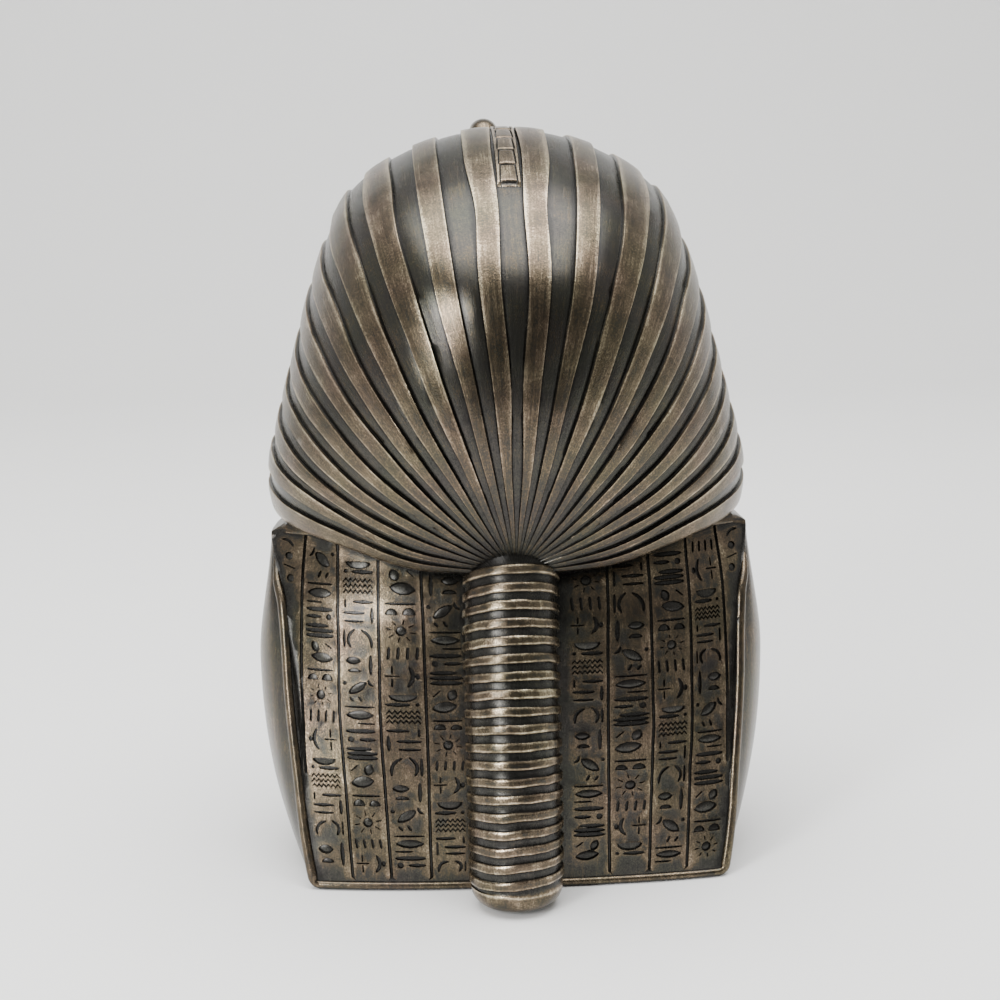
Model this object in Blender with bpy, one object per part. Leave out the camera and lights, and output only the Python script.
"""A cast bust of a pharaoh in a striped headcloth, modelled as one solid.

Metres, +Z up. The bust stands on its flat underside at z = 0 and faces -Y.
Its forms overlap, and one Boolean union joins them into the single casting.
"""

import math

import bmesh
import bpy
import numpy as np

# Driving sizes, in metres.
CLOTH_WIDTH = 0.1308  # across the wings of the headcloth
CLOTH_HEIGHT = 0.0995  # from the cloth's lower rim to the crown
CLOTH_BACK = 0.0495  # from the middle of the cloth back to where its stripes gather
RIM_TILT = math.radians(14)  # the cloth's lower rim rises towards the face
RIM_LIFT = 0.0041  # how far the rim arches up between the gather and the wings
GATHER_Y = 0.044
GATHER_Z = 0.084

STRIPES_A_SIDE = 11
STRIPE_RELIEF = 0.0009
STRIPE_WALL = 0.0002  # run of the small wall beside a raised stripe

SHOULDER_WIDTH = 0.138
SHOULDER_HEIGHT = 0.0905  # to the corners of the shoulders
SHOULDER_SLOPE = 1.6  # how far in the shoulders' top runs for each step up
CHEST_DEPTH = 0.045  # from the middle of the bust to the front of the chest
BACK_DEPTH = 0.050  # from the middle of the bust to the foot of the back panel
PANEL_WIDTH = 0.1146  # over most of its height
PANEL_RIM = 0.0014  # width of the raised rim round the back panel
PANEL_SINK = 0.0007  # depth of the field inside that rim
COLUMN_LINE = 0.0006  # width of the grooves between the columns of carving

PIGTAIL_RADIUS = 0.0128  # at the top
PIGTAIL_FOOT_RADIUS = 0.0122
PIGTAIL_TOP = 0.090
PIGTAIL_LEAN = 0.0250  # how far back its foot hangs from its top
PIGTAIL_TUCK = 0.0095  # how far its top starts inside the gather
PIGTAIL_SWAY = 0.0016  # to one side
PIGTAIL_RINGS = 20
PIGTAIL_RELIEF = 0.0006
PIGTAIL_CLEARANCE = 0.0012  # from the surface that the bust stands on

LAPPET_WIDTH = 0.022
LAPPET_TOP = 0.112  # where the lappets leave the wings
LAPPET_FOOT = 0.034  # height of the lappets' lower ends
LAPPET_INNER = 0.0135  # from the middle of the bust to a lappet's foot
LAPPET_RELIEF = 0.0024
LAPPET_BANDS = 12

COLLAR_ROWS = 4
COLLAR_INNER = 0.0225  # inner radius of the first row
COLLAR_STEP = 0.0078
COLLAR_RELIEF = 0.0009

BAND_HEIGHT = 0.0058  # brow band
BAND_RELIEF = 0.0012
TAIL_STRIP_WIDTH = 0.0060  # the cobra's tail on the crown
TAIL_STRIP_RELIEF = 0.0012
COBRA_SWAY = 3.0  # to one side, in the face's millimetres

BEARD_LENGTH = 0.052
BEARD_WIDTH = 0.0115

# Facets.
CLOTH_ROWS = 14
HEAD_COLUMNS = 25


def smoothstep(t):
    t = np.clip(t, 0.0, 1.0)
    return t * t * (3 - 2 * t)


def clear_scene():
    for item in list(bpy.data.objects):
        bpy.data.objects.remove(item)


def make_collection(name):
    found = bpy.data.collections.new(name)
    bpy.context.scene.collection.children.link(found)
    return found


def bronze():
    """Cold-cast bronze: resin full of bronze powder under a dark patina."""
    made = bpy.data.materials.new("cold_cast_bronze")
    made.use_nodes = True
    shader = made.node_tree.nodes["Principled BSDF"]
    shader.inputs["Base Color"].default_value = (0.145, 0.118, 0.092, 1)
    shader.inputs["Metallic"].default_value = 0.75
    shader.inputs["Roughness"].default_value = 0.42
    return made


def make_object(name, mesh, collection):
    mesh.shade_smooth()
    mesh.set_sharp_from_angle(angle=math.radians(35))
    made = bpy.data.objects.new(name, mesh)
    collection.objects.link(made)
    return made


def closed_grid(name, points, first_pole=None, last_pole=None):
    """A mesh from rings of points. points[i][j] is point j of ring i, each ring is closed, and a pole or a
    flat face closes each end."""
    rings, around, _ = points.shape
    vertices = [tuple(p) for p in points.reshape(-1, 3)]
    faces = []
    for i in range(rings - 1):
        for j in range(around):
            k = (j + 1) % around
            faces.append((i * around + j, i * around + k, (i + 1) * around + k, (i + 1) * around + j))
    for ring, pole, turned in ((0, first_pole, True), (rings - 1, last_pole, False)):
        loop = [ring * around + j for j in range(around)]
        if pole is None:
            faces.append(tuple(reversed(loop)) if turned else tuple(loop))
            continue
        vertices.append(tuple(pole))
        tip = len(vertices) - 1
        for j in range(around):
            pair = (loop[j], loop[(j + 1) % around])
            faces.append((tip, pair[1], pair[0]) if turned else (tip, pair[0], pair[1]))
    mesh = bpy.data.meshes.new(name)
    mesh.from_pydata(vertices, [], faces)
    work = bmesh.new()
    work.from_mesh(mesh)
    bmesh.ops.recalc_face_normals(work, faces=work.faces)
    work.to_mesh(mesh)
    work.free()
    return mesh


# The headcloth. It is worked out in a frame that leans with its rim: x is sideways, run goes forward along the
# rim from the middle of the bust, and rise stands square to the rim.

CLOTH_MIDDLE_Y = GATHER_Y - (CLOTH_BACK - 0.0005) * math.cos(RIM_TILT)
CLOTH_MIDDLE_Z = GATHER_Z + (CLOTH_BACK - 0.0005) * math.sin(RIM_TILT)
CROWN_ROUND = 0.31 * CLOTH_HEIGHT  # height of the rounded top
CROWN_FORWARD = 0.012  # how far the crown's widest place lies forward of the wings'
CLOTH_UNDER = 0.008  # how far the cloth reaches below its rim, inside the shoulders
WING_FRONT = 0.0235  # how far forward the wings reach
WING_RISE = 0.20 * CLOTH_HEIGHT  # where the front starts to slope out over the brow
BROW_FRONT = 0.057  # how far forward the cloth reaches over the brow
BROW_RISE = 0.573 * CLOTH_HEIGHT
SOFT_BEND = 0.04 * CLOTH_HEIGHT  # how softly the front bends there

# Half widths of the cloth at heights above its rim, as shares of half its width and of its height.
CLOTH_LEVELS = [0.0, 0.025, 0.056, 0.113, 0.225, 0.34, 0.45, 0.56, 0.666, 0.774, 0.825, 0.88, 0.93, 0.984, 1.0]
CLOTH_WIDTHS = [
    0.973, 0.991, 1.0, 0.998, 0.959, 0.911, 0.862, 0.815, 0.761, 0.696, 0.651, 0.564, 0.437, 0.223, 0.0002
]


def cloth_cap(rise):
    """1 up to where the crown starts to round, then down to 0 at the top."""
    over = np.clip((rise - (CLOTH_HEIGHT - CROWN_ROUND)) / CROWN_ROUND, 0.0, 0.99999)
    return np.sqrt(1 - over**2)


def cloth_half_width(rise):
    return np.interp(rise / CLOTH_HEIGHT, CLOTH_LEVELS, CLOTH_WIDTHS) * CLOTH_WIDTH / 2


def rim_lift(x):
    """The rim behind is lowest at the gather, arches up on each side and comes down again to the wings."""
    across = np.abs(x) / (CLOTH_WIDTH / 2)
    outer = np.clip((across - 0.75) / 0.25, 0.0, 1.0)
    return RIM_LIFT * smoothstep((across - 0.33) / 0.40) * np.sqrt(1 - outer**2)


def tucked_under(below):
    """How far the cloth draws in below its rim, as a share of its section. below is negative there."""
    return np.interp(below / CLOTH_UNDER, [-1.0, -0.25, 0.0], [0.786, 0.943, 1.0])


def cloth_middle(rise):
    """Where a level of the cloth is widest, forward of the bust's middle."""
    return CROWN_FORWARD * np.clip(rise / CLOTH_HEIGHT, 0.0, 1.0) ** 1.5


def cloth_back(rise):
    up = rise / CLOTH_HEIGHT
    return CLOTH_BACK * (1 + 0.83 * up - 0.77 * up**2) * cloth_cap(rise)


def cloth_front(rise):
    slant = (BROW_FRONT - WING_FRONT) / (BROW_RISE - WING_RISE)
    climb = SOFT_BEND * np.logaddexp(0.0, (rise - WING_RISE) / SOFT_BEND) * slant
    over_brow = SOFT_BEND * np.logaddexp(0.0, (rise - BROW_RISE) / SOFT_BEND) * (slant + 0.25)
    return np.maximum((WING_FRONT + climb - over_brow - cloth_middle(rise)) * cloth_cap(rise), 1e-5)


def cloth_holds(x, run, rise):
    """True where a point of the leaning frame is inside the cloth."""
    level = np.clip(rise, 0.0, CLOTH_HEIGHT)
    off = run - cloth_middle(level)
    flat_front = 3.0 - 0.8 * smoothstep((level - 2 * WING_RISE) / (BROW_RISE - WING_RISE))
    power = np.where(off < 0, 2.15, flat_front)
    under = tucked_under(rise - np.where(off < 0, rim_lift(x), 0.0))
    reach = np.where(off < 0, cloth_back(level), cloth_front(level)) * under
    width = np.maximum(cloth_half_width(level) * under, 1e-5)
    inside = np.abs(x / width) ** power + np.abs(off / reach) ** power < 1
    return inside & (rise > -CLOTH_UNDER) & (rise < CLOTH_HEIGHT)


def to_bust(x, run, rise):
    """From the leaning frame to the bust's own."""
    y = CLOTH_MIDDLE_Y - run * math.cos(RIM_TILT) + rise * math.sin(RIM_TILT)
    z = CLOTH_MIDDLE_Z + run * math.sin(RIM_TILT) + rise * math.cos(RIM_TILT)
    return np.stack([x, y, z], -1)


def cloth_surface(turn, polar):
    """The plain cloth. turn goes round the rim's axis from straight up, polar from the gather to the front."""
    x = np.sin(polar) * np.sin(turn)
    run = -np.cos(polar)
    rise = np.sin(polar) * np.cos(turn)
    near = np.zeros_like(x)
    far = np.full_like(x, 0.2)
    for _ in range(40):
        half = (near + far) / 2
        inside = cloth_holds(x * half, run * half, rise * half)
        near = np.where(inside, half, near)
        far = np.where(inside, far, half)
    return to_bust(x * near, run * near, rise * near)


def rim_turn(polar):
    """The turn at which the cloth's surface reaches its rim, for each polar."""
    turn = np.full_like(polar, math.pi / 2)
    for _ in range(4):
        edge = cloth_surface(turn, polar)
        arm = np.linalg.norm(edge - to_bust(0.0, 0.0, 0.0), axis=-1) * np.sin(polar)
        turn = math.pi / 2 - np.where(polar < math.pi / 2, rim_lift(edge[:, 0]), 0.0) / arm
    return turn


def surface_normals(points):
    """Unit normals of a grid of points, pointing away from its middle."""
    across = np.gradient(points, axis=1)
    along = np.gradient(points, axis=0)
    normal = np.cross(across, along)
    normal /= np.maximum(np.linalg.norm(normal, axis=-1, keepdims=True), 1e-12)
    outward = ((points - points.mean((0, 1))) * normal).sum(-1, keepdims=True)
    return normal * np.where(outward < 0, -1.0, 1.0)


def stripe_columns():
    """(turn, raised share) of each column of the cloth's mesh. A stripe is raised between two walls."""
    period = math.pi / 2 / STRIPES_A_SIDE
    wall = STRIPE_WALL / (CLOTH_WIDTH / 2)
    side = []
    for k in range(STRIPES_A_SIDE):
        start = (k + 0.25) * period
        end = (k + 0.75) * period if k < STRIPES_A_SIDE - 1 else math.pi / 2
        side += [(start - wall, 0.0), (start + wall, 1.0), (end - wall, 1.0), (end + wall, 0.0)]
    mirrored = [(-turn, raised) for turn, raised in reversed(side)]
    below = [(math.pi * share, 0.0) for share in (0.54, 0.62, 0.80, 1.0, 1.20, 1.38, 1.46)]
    return side + below + [(turn + 2 * math.pi, raised) for turn, raised in mirrored]


def headcloth():
    columns = stripe_columns()
    turns = np.array([turn for turn, _ in columns])
    raised = np.array([share for _, share in columns])
    polar = np.pi * (np.linspace(0.02, 0.90, CLOTH_ROWS) ** 0.9)
    turn_grid, polar_grid = np.meshgrid(turns, polar)
    side = np.where(turn_grid > math.pi, turn_grid - 2 * math.pi, turn_grid)
    short = math.pi / 2 - rim_turn(polar)[:, None]
    turn_grid = turn_grid - np.sign(side) * short * smoothstep((np.abs(side) - math.pi / 3) / (math.pi / 6))
    points = cloth_surface(turn_grid, polar_grid)
    middle = to_bust(0.0, 0.0, 0.0)
    width = np.linalg.norm(points - middle, axis=-1) * np.sin(polar_grid) * math.pi / 4 / STRIPES_A_SIDE
    relief = np.minimum(STRIPE_RELIEF, 0.25 * width) * raised
    points = points + surface_normals(points) * relief[..., None]
    ends = [cloth_surface(np.array([0.0]), np.array([angle]))[0] for angle in (0.0, math.pi)]
    return closed_grid("headcloth", points, ends[0], ends[1])


# The shoulders: level sections, each with a back panel, two sides and a rounded chest.

SIDE_Y = 0.015  # where the shoulders are widest


def side_half_width(z):
    """The sides swell out, most at six tenths of their height, and draw in faster towards the foot."""
    up = z / SHOULDER_HEIGHT - 0.608
    lower = np.maximum(1 - (np.maximum(-up, 0.0) / 1.044) ** 2.2, 0.0) ** (1 / 2.2)
    return SHOULDER_WIDTH / 2 * lower * (1 - 0.066 * smoothstep(up / 0.442))


def shoulder_top(z):
    """The most that a level reaches sideways: the sides, and above their corners the sloping top."""
    above = np.maximum(z - SHOULDER_HEIGHT, 0.0)
    return side_half_width(z - above) - above * SHOULDER_SLOPE


def panel_half_width(z):
    """The panel's edges run nearly upright and spread to the corners of the shoulders."""
    foot = 0.0036 * np.exp(-z / 0.010)
    return PANEL_WIDTH / 2 - foot + 0.0076 * np.clip((z / SHOULDER_HEIGHT - 0.442) / 0.5525, 0.0, 1.0) ** 1.6


def panel_y(x, z):
    """The back panel's surface. It leans in towards the nape and rounds off sideways, more at the top."""
    up = z / SHOULDER_HEIGHT
    sag = (0.004 + 0.0096 * up) * np.abs(x / (PANEL_WIDTH / 2)) ** 2.6
    return BACK_DEPTH - 0.1 * z - sag - 0.0065 * smoothstep((up - 0.773) / 0.243)


def chest_front(z):
    rise = z / SHOULDER_HEIGHT
    return CHEST_DEPTH * (0.84 + 0.597 * rise - 0.612 * rise**2)


CHEST_POWER = 2.3


def chest_y(x, z):
    """The chest's surface, seen from in front."""
    share = np.clip(np.abs(x) / side_half_width(z), 0.0, 0.999)
    return SIDE_Y - (SIDE_Y + chest_front(z)) * (1 - share**CHEST_POWER) ** (1 / CHEST_POWER)


def chest_shrink(z):
    """1 up to the collar bones, then in towards the neck."""
    over = np.clip((z / SHOULDER_HEIGHT - 0.84) / 0.2376, 0.0, 1.0)
    return (1 - over**3.5) ** (1 / 3.5)


def panel_relief(across, z):
    """How far the back stands out or is cut, from -1 to 1 across the panel."""
    x = np.abs(across) * PANEL_WIDTH / 2
    inside = (x < PANEL_WIDTH / 2 - PANEL_RIM) & (z > PANEL_RIM + 0.0008)
    return np.where(inside, -PANEL_SINK, 0.0)


def panel_columns():
    """Places across the panel, from -1 to 1, with the lines between columns as narrow grooves."""
    edge = PANEL_WIDTH / 2
    lines = [edge * share for share in (0.417, 0.618, 0.801)]
    half = [(0.0, 0.0), (PIGTAIL_RADIUS, 0.0)]
    for line in lines:
        half += [(line - COLUMN_LINE, 0.0), (line, -COLUMN_LINE * 0.6), (line + COLUMN_LINE, 0.0)]
    half += [(edge - PANEL_RIM - 0.0003, 0.0), (edge - PANEL_RIM + 0.0001, 0.0), (edge, 0.0)]
    mirrored = [(-x, cut) for x, cut in reversed(half[1:])]
    return [(x / edge, cut) for x, cut in mirrored + half]


def shoulders():
    foot = [0.0, 0.0012, PANEL_RIM + 0.0006, PANEL_RIM + 0.0011]
    shares = (0.08, 0.15, 0.24, 0.35, 0.47, 0.59, 0.71, 0.80, 0.87, 0.93, 0.97, 1.0, 1.035, 1.07)
    heights = np.array(foot + [share * SHOULDER_HEIGHT for share in shares])
    columns = panel_columns()
    rings = []
    for z in heights:
        rim = panel_half_width(z)
        back = []
        for share, cut in columns:
            back.append((share * rim, panel_y(share * rim, z) + panel_relief(share, z) + cut))
        side = []
        for t in (0.35, 0.68):
            x = side_half_width(z) + (rim - side_half_width(z)) * (1 - t) ** 2
            side.append((x, panel_y(rim, z) + (SIDE_Y - panel_y(rim, z)) * t))
        front = []
        for angle in np.radians(np.linspace(90, -90, 25)):
            x = side_half_width(z) * np.sign(angle) * abs(math.sin(angle)) ** (2 / CHEST_POWER)
            y = SIDE_Y - (SIDE_Y + chest_front(z)) * abs(math.cos(angle)) ** (2 / CHEST_POWER)
            front.append((x, y))
        other_side = [(-x, y) for x, y in reversed(side)]
        foot = 1 - 0.0008 * (1 - smoothstep(z / 0.0012)) / (SHOULDER_WIDTH / 2)
        most = shoulder_top(z)
        ring = []
        for x, y in back + side + front + other_side:
            shrink = foot * (chest_shrink(z) if y < 0 else 1.0)
            ring.append((float(np.clip(x, -most, most)) * foot, y * shrink, z))
        rings.append(ring)
    points = np.array(rings, float)
    return closed_grid("shoulders", points)


# Bands that lie on the chest: the lappets and the rows of the collar.


def on_chest(name, rows, relief):
    """A thin solid over the chest. rows[i][j] is (x, z, proud), and proud is its share of the relief."""
    ring_points = []
    for row in rows:
        front = [(x, chest_y(x, z) - relief * proud, z) for x, z, proud in row]
        back = [(x, chest_y(x, z) + 0.004, z) for x, z, _ in reversed(row)]
        ring_points.append(front + back)
    return closed_grid(name, np.array(ring_points, float))


def collar_row(k):
    """One row of the broad collar, an arc of an ellipse round the throat."""
    inner = COLLAR_INNER + k * COLLAR_STEP
    section = ((0.0004, -0.2), (0.0007, 1.0), (COLLAR_STEP - 0.0009, 1.0), (COLLAR_STEP - 0.0006, -0.2))
    rows = []
    for angle in np.radians(np.linspace(-84, 84, 17)):
        row = []
        for out, proud in section:
            x = (inner + out) * math.sin(angle)
            z = 0.972 * SHOULDER_HEIGHT - (inner + out) * 1.26 * math.cos(angle)
            row.append((x, z, proud))
        rows.append(row)
    return on_chest(f"collar_row_{k + 1}", rows, COLLAR_RELIEF)


def lappet_surface(x, z):
    """The lappet starts inside the wing, comes forward and then lies on the chest."""
    chest = chest_y(x, min(z, 0.80 * SHOULDER_HEIGHT)) - LAPPET_RELIEF
    start = CLOTH_MIDDLE_Y - WING_FRONT / 2
    hang = start - (CHEST_DEPTH - 0.0185) * smoothstep((LAPPET_TOP - z) / 0.032)
    return chest + (hang - chest) * smoothstep((z / SHOULDER_HEIGHT - 0.73) / 0.22)


def lappet(side):
    """One lappet, with raised bands across it."""
    heights = []
    step = (LAPPET_TOP - LAPPET_FOOT) / LAPPET_BANDS
    for k in range(LAPPET_BANDS):
        low = LAPPET_FOOT + k * step
        high = low + step * 0.52
        heights += [(low, 0.0), (low + 0.0003, 1.0), (high, 1.0), (high + 0.0003, 0.0)]
    rings = []
    for z, raised in heights:
        down = (LAPPET_TOP - z) / (LAPPET_TOP - LAPPET_FOOT)
        inner = LAPPET_INNER + 0.0070 * (1 - down)
        outer = inner + LAPPET_WIDTH * (1.12 - 0.12 * down)
        ring = []
        for t in (0.0, 0.06, 0.5, 0.94, 1.0):
            x = inner + (outer - inner) * t
            edge = 0.0011 if t in (0.0, 1.0) else 0.0
            ring.append((side * x, lappet_surface(x, z) - 0.0005 * raised + edge, z))
        back = [(side * x, lappet_surface(abs(x), z) + 0.010, z) for x in (side * outer, side * inner)]
        rings.append(ring + [(side * abs(x), y, z) for x, y, z in back])
    return closed_grid("lappet", np.array(rings, float))


# The head, from rounded forms that melt into each other. A point's distance to a form is taken in the face's own
# millimetres, sideways, forward and up, because a face is easier to read that way. They grow with the cloth.

FACE_UNIT = CLOTH_HEIGHT / 99.5
FACE_FOOT = 95.85  # where the middle of the cloth's rim lies in those millimetres
FACE_BACK = 3.54
HEAD_AXIS_FORWARD = 12.0


def on_face(sideways, forward, up):
    """From the face's millimetres to the bust's metres."""
    y = CLOTH_MIDDLE_Y - (forward - FACE_BACK) * FACE_UNIT
    z = CLOTH_MIDDLE_Z + (up - FACE_FOOT) * FACE_UNIT
    return np.stack(np.broadcast_arrays(sideways * FACE_UNIT, y, z), -1)


def ellipsoid(p, centre, radii):
    q = (p - np.array(centre)) / np.array(radii)
    k0 = np.linalg.norm(q, axis=-1)
    k1 = np.maximum(np.linalg.norm(q / np.array(radii), axis=-1), 1e-9)
    return k0 * (k0 - 1) / k1


def capsule(p, start, end, r0, r1):
    a, b = np.array(start), np.array(end)
    t = np.clip(((p - a) @ (b - a)) / ((b - a) @ (b - a)), 0.0, 1.0)
    return np.linalg.norm(p - (a + t[..., None] * (b - a)), axis=-1) - (r0 + (r1 - r0) * t)


def join(a, b, soft):
    h = np.clip(0.5 + 0.5 * (b - a) / soft, 0.0, 1.0)
    return b + (a - b) * h - soft * h * (1 - h)


def cut(a, b, soft):
    return -join(-a, b, soft)


def head_distance(p):
    """p is (sideways, forward, up) in the face's millimetres. The head is the same on both sides."""
    p = np.stack([np.abs(p[..., 0]), p[..., 1], p[..., 2]], -1)
    skull = ellipsoid(p, (0, 10, 143), (28.5, 39, 38))
    jaw = ellipsoid(p, (0, 14, 117), (24, 35, 25))
    head = join(skull, jaw, 9)
    head = join(head, ellipsoid(p, (15.5, 33, 124), (11, 12, 14)), 7)
    head = join(head, ellipsoid(p, (0, 43, 101), (9.5, 9.5, 7)), 6)
    head = join(head, ellipsoid(p, (0, 40.5, 110), (13, 12, 9)), 6)
    head = cut(head, ellipsoid(p, (13, 54, 134), (9, 7, 5.2)), 4)
    head = join(head, ellipsoid(p, (13.2, 38.6, 133.4), (8.2, 7.8, 4.6)), 1.2)
    head = join(head, capsule(p, (5, 47.6, 141.5), (19, 44.0, 142.5), 1.3, 1.0), 1.5)
    head = join(head, capsule(p, (0, 48.0, 139), (0, 54.2, 122.8), 2.5, 3.6), 4)
    head = join(head, ellipsoid(p, (0, 54.8, 121.4), (4.2, 4.4, 3.8)), 1.5)
    head = join(head, ellipsoid(p, (4.7, 51.6, 120.0), (2.8, 3.8, 2.9)), 1.5)
    head = join(head, ellipsoid(p, (3.6, 50.6, 111.2), (6.8, 3.4, 2.2)), 0.8)
    head = join(head, ellipsoid(p, (0, 50.4, 107.0), (8.2, 3.6, 2.7)), 0.8)
    neck = capsule(p, (0, 9, 70), (0, 9, 108), 20.5, 18.5)
    return join(head, neck, 5)


def march(origins, directions, reach):
    """Walks in from reach along each ray to the head's surface."""
    travelled = np.full(origins.shape[:-1], reach)
    for _ in range(70):
        points = origins + directions * travelled[..., None]
        travelled = np.maximum(travelled - 0.8 * head_distance(points), 0.5)
    return origins + directions * travelled[..., None]


def head():
    """Rays to the face leave an upright line inside the head. Below the mouth they all leave the foot of that
    line and fan downwards, to reach the underside of the chin and the throat."""
    chin_to_mouth = np.linspace(84, 108, 8)[:-1]
    height = np.concatenate([chin_to_mouth, np.linspace(108, 148, 20), np.linspace(153, 176, 3)])
    slope = np.radians(-66) * np.clip((108 - height) / 24, 0.0, 1.0)
    start = np.maximum(height, 108)
    turn = np.radians(np.concatenate([np.linspace(-105, 105, HEAD_COLUMNS), [135, 180, 225]]))
    turn_grid, slope_grid = np.meshgrid(turn, slope)
    _, start_grid = np.meshgrid(turn, start)
    level = np.cos(slope_grid)
    directions = np.stack([np.sin(turn_grid) * level, np.cos(turn_grid) * level, np.sin(slope_grid)], -1)
    origins = np.stack([np.zeros_like(turn_grid), np.full_like(turn_grid, HEAD_AXIS_FORWARD), start_grid], -1)
    p = march(origins, directions, 75.0)
    points = on_face(p[..., 0], p[..., 1], p[..., 2])
    return closed_grid("head", points, points[0].mean(0), points[-1].mean(0))


def ear(side):
    """A flat oval with a raised rim, set against the cloth beside the cheek."""
    rings = []
    facing = math.radians(38)
    for depth, share in ((-5.0, 0.80), (-0.2, 1.0), (3.0, 0.97), (3.2, 0.80), (1.4, 0.58), (1.8, 0.25)):
        angle = np.linspace(0, 2 * math.pi, 18, endpoint=False)
        u = 6.2 * (1 + 0.22 * np.sin(angle)) * share * np.cos(angle)
        v = 11.8 * share * np.sin(angle)
        sideways = 32.5 + u * math.cos(facing) + depth * math.sin(facing)
        forward = 27.5 - u * math.sin(facing) + depth * math.cos(facing)
        rings.append(on_face(side * sideways, forward, 129.5 + v))
    return closed_grid("ear", np.array(rings, float))


def brow_band():
    """A plain band round the brow, under the edge of the cloth, that dips towards the ears."""
    rings = []
    for angle in np.radians(np.linspace(-80, 80, 23)):
        middle = 159.0 - 18.5 * (1 - math.cos(angle)) ** 1.2
        here = on_face(35.0 * math.sin(angle), 10.0 + 39.2 * math.cos(angle), middle)
        outward = np.array([math.sin(angle), -math.cos(angle), 0.0])
        ring = []
        for up, out in ((-0.5, 0.0), (-0.5, 1.0), (0.5, 1.0), (0.5, -5.0), (-0.5, -5.0)):
            ring.append(here + outward * out * BAND_RELIEF + np.array([0.0, 0.0, up * BAND_HEIGHT]))
        rings.append(ring)
    return closed_grid("brow_band", np.array(rings, float))


def midline(polar):
    return cloth_surface(np.array([0.0]), np.array([polar]))[0]


def tail_strip():
    """The cobra's tail lies over the crown as a raised strip."""
    rings = []
    for polar in np.radians(np.linspace(78, 140, 20)):
        here = midline(polar)
        ahead = midline(polar + 0.01)
        along = (ahead - here) / np.linalg.norm(ahead - here)
        out = np.array([0.0, -along[2], along[1]])
        out *= np.sign(out @ (here - to_bust(0.0, 0.0, 0.0)))
        ring = []
        for side, height in ((-1, -0.003), (-1, TAIL_STRIP_RELIEF), (1, TAIL_STRIP_RELIEF), (1, -0.003)):
            ring.append(here + np.array([side * TAIL_STRIP_WIDTH / 2, 0, 0]) + out * height)
        rings.append(ring)
    return closed_grid("tail_strip", np.array(rings, float))


def cobra():
    """The cobra rears up from the brow band: a flat hood, widest at half its height, and a head."""
    stations = [  # height, forward, half width, half thickness, in the face's millimetres
        (156.0, 49.0, 2.4, 2.2),
        (160.0, 51.8, 3.4, 2.8),
        (166.5, 53.2, 6.2, 3.0),
        (173.0, 53.0, 8.4, 3.2),
        (180.0, 51.5, 8.7, 3.2),
        (187.0, 49.3, 7.0, 3.4),
        (192.5, 48.4, 4.8, 3.8),
        (196.2, 50.2, 4.2, 4.2),
        (197.3, 54.5, 4.1, 3.4),
        (196.2, 58.4, 2.6, 2.2),
    ]
    rings = []
    for k, (z, forward, wide, thick) in enumerate(stations):
        before = stations[max(k - 1, 0)]
        after = stations[min(k + 1, len(stations) - 1)]
        lean = math.atan2(after[1] - before[1], after[0] - before[0])
        angle = np.linspace(0, 2 * math.pi, 12, endpoint=False)
        out = thick * np.sin(angle)
        sideways = COBRA_SWAY * smoothstep((z - 158) / 36) + wide * np.cos(angle)
        rings.append(on_face(sideways, forward + out * math.cos(lean), z - out * math.sin(lean)))
    return closed_grid("cobra", np.array(rings, float))


def cobra_root():
    """The web behind the cobra, thick enough to cast, slopes down from the cloth to the back of its hood."""
    rings = []
    for z, half, back, front in (
        (156.0, 3.0, 30.0, 50.0),
        (168.0, 4.2, 26.0, 52.0),
        (176.0, 4.2, 24.0, 50.5),
        (183.0, 3.6, 19.0, 40.0),
        (189.0, 2.6, 12.0, 27.0),
    ):
        middle = (back + front) / 2
        sideways = np.array([-1.3, -1.0, -0.8, 0.8, 1.0, 1.3]) * half
        forward = np.array([back, middle, front, front, middle, back])
        sideways += COBRA_SWAY * smoothstep((z - 158) / 36) * (forward > middle)
        rings.append(on_face(sideways, forward, z))
    return closed_grid("cobra_root", np.array(rings, float))


def beard():
    """A straight ceremonial beard, ribbed across, with the web behind it that a caster leaves."""
    rings = []
    ribs = 10
    _, root, top = on_face(0.0, 50.5, 99.0)
    step = BEARD_LENGTH / ribs
    for k in range(ribs):
        for offset, swell in ((0.0, 0.0), (0.2, 1.0), (0.8, 1.0)):
            z = top - (k + offset) * step
            down = (top - z) / BEARD_LENGTH
            half = BEARD_WIDTH / 2 * (0.72 + 0.34 * down) + 0.0005 * swell
            front = root - 0.0045 * down - 0.0005 * swell
            ring = []
            for angle in np.radians(np.linspace(-90, 90, 7)):
                ring.append((half * math.sin(angle), front + half * 0.75 * (1 - math.cos(angle)), z))
            web = 0.6 * half
            near, deep = root + 0.0105, root + 0.0285
            ring += [(web, near, z), (web, deep, z), (-web, deep, z), (-web, near, z)]
            rings.append(ring)
    return closed_grid("beard", np.array(rings, float))


# The pigtail: a bevelled curve whose radius steps from ring to ring.


def pigtail_line(share):
    """(x, y, z) of its middle line. It leaves the nape sloping out and ends upright."""
    x = PIGTAIL_SWAY * float(smoothstep(0.35 + 2 * share))
    y = GATHER_Y - PIGTAIL_TUCK + PIGTAIL_LEAN * (1 - (1 - share) ** 1.8)
    z = PIGTAIL_TOP - (PIGTAIL_TOP - PIGTAIL_CLEARANCE) * share
    return x, y, z


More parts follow.
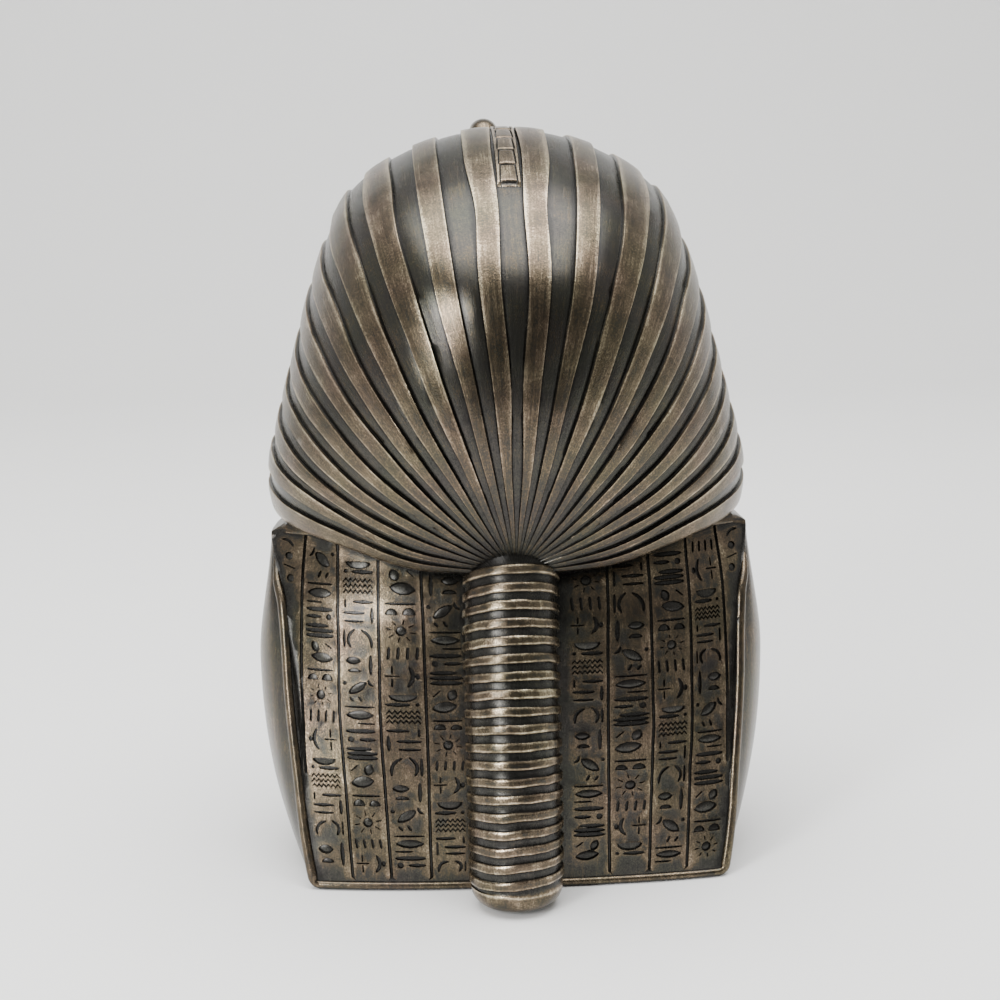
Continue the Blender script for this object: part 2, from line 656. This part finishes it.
def pigtail():
    curve = bpy.data.curves.new("pigtail", "CURVE")
    curve.dimensions = "3D"
    curve.bevel_depth = PIGTAIL_RADIUS
    curve.bevel_resolution = 4
    curve.use_fill_caps = True
    stations = []
    first, last = 0.015, 0.957
    step = (last - first) / PIGTAIL_RINGS
    low = 1 - PIGTAIL_RELIEF / PIGTAIL_RADIUS
    for k in range(PIGTAIL_RINGS):
        for place, radius in ((0.0, low), (0.06, 1.0), (0.56, 1.0), (0.62, low)):
            stations.append((first + (k + place) * step, radius))
    for t in (0.0, 0.35, 0.65, 0.85, 0.96, 1.0):
        stations.append((last + (1 - last) * t, 0.68 + 0.29 * math.sqrt(1 - t**2)))
    spline = curve.splines.new("POLY")
    spline.points.add(len(stations) - 1)
    for point, (share, radius) in zip(spline.points, stations):
        point.co = (*pigtail_line(share), 1)
        point.radius = radius * (1 + (PIGTAIL_FOOT_RADIUS / PIGTAIL_RADIUS - 1) * share)
    holder = bpy.data.objects.new("pigtail_curve", curve)
    bpy.context.scene.collection.objects.link(holder)
    mesh = bpy.data.meshes.new_from_object(holder.evaluated_get(bpy.context.evaluated_depsgraph_get()))
    bpy.data.objects.remove(holder)
    work = bmesh.new()
    work.from_mesh(mesh)
    bmesh.ops.remove_doubles(work, verts=work.verts, dist=0.00001)
    bmesh.ops.recalc_face_normals(work, faces=work.faces)
    work.to_mesh(mesh)
    work.free()
    return mesh


def main():
    clear_scene()
    bust_collection = make_collection("pharaoh_bust")
    forms = make_collection("forms_joined_into_the_bust")
    bust = make_object("pharaoh_bust", shoulders(), bust_collection)
    bust.data.materials.append(bronze())
    meshes = [headcloth(), head(), pigtail(), brow_band(), tail_strip(), cobra(), cobra_root(), beard()]
    meshes += [collar_row(k) for k in range(COLLAR_ROWS)]
    meshes += [lappet(side) for side in (-1, 1)]
    meshes += [ear(side) for side in (-1, 1)]
    for mesh in meshes:
        form = make_object(mesh.name, mesh, forms)
        form.hide_render = True
        form.display_type = "WIRE"
    union = bust.modifiers.new("cast as one", "BOOLEAN")
    union.operation = "UNION"
    union.solver = "EXACT"
    union.operand_type = "COLLECTION"
    union.collection = forms


main()
